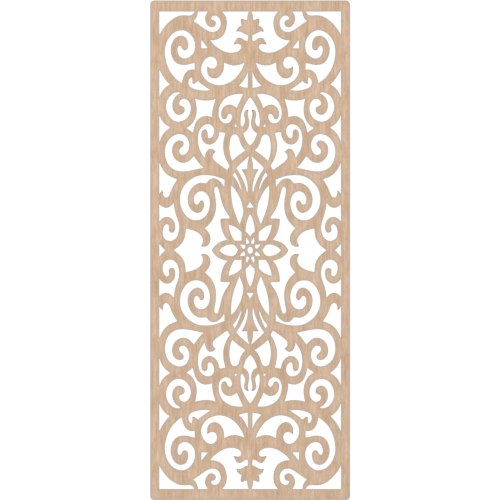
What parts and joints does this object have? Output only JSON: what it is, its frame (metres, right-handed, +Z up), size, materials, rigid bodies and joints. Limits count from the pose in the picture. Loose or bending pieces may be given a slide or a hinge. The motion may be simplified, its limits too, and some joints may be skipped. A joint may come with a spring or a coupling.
{
  "type": "carved wall panel",
  "caption": "Flat upright wooden fretwork panel, pierced with mirrored scrolls, leaves and a central flower inside a plain frame, to hang flat on a wall.",
  "frame": {"origin": "on the flat back of the board, in the middle of its top rail", "axes": "+X to the right as the front is looked at, +Z up, +Y out of the back towards the wall; the front faces -Y"},
  "size_m": [0.4, 0.006, 1],
  "materials": {
    "wood": "pale oak-faced board, finely sanded and left matt, with greyed cut edges"
  },
  "bodies": {
    "root": {"panel": "wood"}
  },
  "joints": []
}
